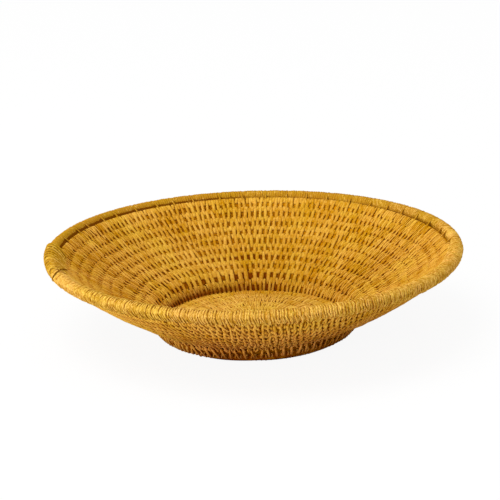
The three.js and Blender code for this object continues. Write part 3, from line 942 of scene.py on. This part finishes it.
# The splice binding
# Where the two ends of the roll meet they are bound over with slanting turns of a thicker strand.
# The turns make the roll thicker there and get tighter towards the front.
SPLICE_TURNS = 11
SPLICE_SPAN = (-0.30 * SPLICE_LENGTH, 0.46 * SPLICE_LENGTH)
SPLICE_STRAND = 0.0062
SPLICE_THICKNESS = 0.0028
SPLICE_DEPTH = 0.0090
SPLICE_SWELLS = (1.06, 0.84)
SPLICE_REACH_SHARE = 0.6
SPLICE_STEPS = 20
SPLICE_WOBBLE = 0.0010
SPLICE_LEAN = -0.8
SPLICE_LEAN_JITTER = 0.12
SPLICE_BREADTH_JITTER = 0.15
SPLICE_DARK_COLOUR = (0.39, 0.185, 0.008, 1)
SPLICE_LIGHT_COLOUR = (0.72, 0.43, 0.075, 1)
# The edges of the turns take a dark painted shade, for the grooves between them.
SPLICE_CREASE_SHADE = (0.22, 0.085, 0.015, 1)
SPLICE_TONES = (-0.3, 0.5)
SPLICE_CREASE = 0.9
splice_fibre = sisal(
    "splice_fibre", SPLICE_DARK_COLOUR, SPLICE_LIGHT_COLOUR, streak_scale=1.6, streak_length=0.0035,
    streakiness=1.2, patchiness=0.5, graininess=1.2, crease_shade=SPLICE_CREASE_SHADE,
)
splice_angles = SPLICE_ANGLE + np.linspace(*SPLICE_SPAN, SPLICE_TURNS) / rim_middle.x
splice_swell = np.linspace(*SPLICE_SWELLS, SPLICE_TURNS)
splice_sizes = {
    "Line": rim_line, "Half length": RIM_ROLL_RADIUS + SPLICE_DEPTH / 2, "Half depth": RIM_ROLL_RADIUS,
    "Rounding": 1.0, "Strand width": SPLICE_STRAND, "Strand thickness": SPLICE_THICKNESS,
    "Wobble": SPLICE_WOBBLE, "Steps": SPLICE_STEPS, "Sides": STITCH_SIDES, "Material": splice_fibre,
}
splice = lay_strands("splice_binding_strand", strand_tree, splice_sizes, {
    "run": LINE_REACH - SPLICE_DEPTH / 2, "angle": splice_angles,
    "reach": 1 + SPLICE_REACH_SHARE * (splice_swell - 1), "girth": splice_swell,
    "lean": SPLICE_LEAN + chance.normal(0, SPLICE_LEAN_JITTER, SPLICE_TURNS),
    "tone": chance.uniform(*SPLICE_TONES, SPLICE_TURNS), "edge_shade": SPLICE_CREASE,
    "breadth": chance.normal(1, SPLICE_BREADTH_JITTER, SPLICE_TURNS), "lift": 0,
})
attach(splice, "root")
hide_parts("splice_binding")


# The seam in front of the splice
# A thin loop of the dark core fibre stands just in front of the splice as one thin dark seam: painted shade
# for the groove there. It leans as the first turns of the sewn wrapping do, and they hold it down.
SEAM_REACH = 0.010
SEAM_BREADTH = 0.3
SEAM_TONE = 0.1
seam_sizes = {**splice_sizes, "Half length": RIM_ROLL_RADIUS + SEAM_REACH / 2, "Material": core_fibre}
seam = lay_strands("rim_roll_end", strand_tree, seam_sizes, {
    "run": LINE_REACH - SEAM_REACH / 2, "angle": np.array([SEWN_START]), "reach": 1, "girth": 1,
    "lean": SEAM_LEAN, "tone": SEAM_TONE, "breadth": SEAM_BREADTH, "lift": 0,
})
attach(seam, "root")

for line in (profile_line, rim_line):
    bpy.data.objects.remove(line)


# The studio
# A white floor that keeps the shadow of the bowl, soft lamps above and at the left under an even
# white sky, and a camera with a long lens at the photograph's height.
FLOOR_REACH = 12
FLOOR_COLOUR = (0.8, 0.8, 0.8, 1)
WHITE = (1, 1, 1, 1)
FLOOR_SEEN_WHITE = 0.92
SKY_STRENGTH = 0.80
LAMP_TARGET = Vector((0, 0, 0.04))

floor_mesh = bpy.data.meshes.new("studio_floor")
corners = [(-1, -1), (1, -1), (1, 1), (-1, 1)]
floor_mesh.from_pydata([(FLOOR_REACH * x, FLOOR_REACH * y, 0) for x, y in corners], [], [(0, 1, 2, 3)])
studio_floor = bpy.data.objects.new("studio_floor", floor_mesh)
bpy.context.scene.collection.objects.link(studio_floor)
floor_paint = bpy.data.materials.new("studio_floor")
floor_paint.use_nodes = True
floor_tree = floor_paint.node_tree
floor_shader = floor_tree.nodes["Principled BSDF"]
floor_shader.inputs["Base Color"].default_value = FLOOR_COLOUR
floor_shader.inputs["Roughness"].default_value = 1.0
floor_shader.inputs["Specular IOR Level"].default_value = 0.0
seen_white = add_node(floor_tree, "ShaderNodeEmission", {"Color": WHITE, "Strength": 1.0})
seen = add_node(floor_tree, "ShaderNodeLightPath").outputs["Is Camera Ray"]
seen_floor = add_node(floor_tree, "ShaderNodeMixShader", {
    0: add_math(floor_tree, "MULTIPLY", seen, FLOOR_SEEN_WHITE),
    1: floor_shader.outputs[0], 2: seen_white.outputs[0],
})
floor_tree.links.new(seen_floor.outputs[0], floor_tree.nodes["Material Output"].inputs["Surface"])
floor_mesh.materials.append(floor_paint)


def soft_lamp(name, place, size, power):
    """A round lamp that points at the bowl."""
    light = bpy.data.lights.new(name, "AREA")
    light.shape = "DISK"
    light.size = size
    light.energy = power
    lamp = bpy.data.objects.new(name, light)
    lamp.location = place
    lamp.rotation_euler = (LAMP_TARGET - Vector(place)).to_track_quat("-Z", "Y").to_euler()
    bpy.context.scene.collection.objects.link(lamp)


soft_lamp("key", place=(-1.1, -0.8, 3.1), size=2.4, power=74)
soft_lamp("fill", place=(-2.2, -2.2, 0.36), size=1.2, power=54)

world = bpy.data.worlds.new("studio")
bpy.context.scene.world = world
world.use_nodes = True
sky = world.node_tree
background = sky.nodes["Background"]
background.inputs["Color"].default_value = WHITE
seen = add_node(sky, "ShaderNodeLightPath").outputs["Is Camera Ray"]
strength = add_node(sky, "ShaderNodeMix", {0: seen, 2: SKY_STRENGTH, 3: 1.0}).outputs[0]
sky.links.new(strength, background.inputs["Strength"])

# The camera looks at the middle of the foot and is then turned so that the foot falls on its pixel.
IMAGE_SIZE = 500
SENSOR_WIDTH = 36
FOCAL_PIXELS = 1987.1
FOOT_PIXEL = (255.9, 329.2)
CAMERA_DISTANCE = 1.7
CAMERA_ELEVATION = math.radians(19.504)
CAMERA_ROLL = math.radians(1.707)
camera_data = bpy.data.cameras.new("camera")
camera_data.sensor_width = SENSOR_WIDTH
camera_data.lens = FOCAL_PIXELS / IMAGE_SIZE * SENSOR_WIDTH
camera = bpy.data.objects.new("camera", camera_data)
bpy.context.scene.collection.objects.link(camera)
place = CAMERA_DISTANCE * Vector((0, -math.cos(CAMERA_ELEVATION), math.sin(CAMERA_ELEVATION)))
to_foot = -place.normalized()
level_right = Vector((1, 0, 0))
level_up = level_right.cross(to_foot)
right = math.cos(CAMERA_ROLL) * level_right - math.sin(CAMERA_ROLL) * level_up
up = math.sin(CAMERA_ROLL) * level_right + math.cos(CAMERA_ROLL) * level_up
aside = (FOOT_PIXEL[0] - IMAGE_SIZE / 2) / FOCAL_PIXELS
below = (FOOT_PIXEL[1] - IMAGE_SIZE / 2) / FOCAL_PIXELS
forward = (to_foot - aside * right + below * up).normalized()
right = (right - right.dot(forward) * forward).normalized()
up = right.cross(forward)
camera.matrix_world = Matrix.Translation(place) @ Matrix((right, up, -forward)).transposed().to_4x4()
bpy.context.scene.camera = camera
bpy.context.scene.view_settings.view_transform = "Standard"

bpy.context.view_layer.update()
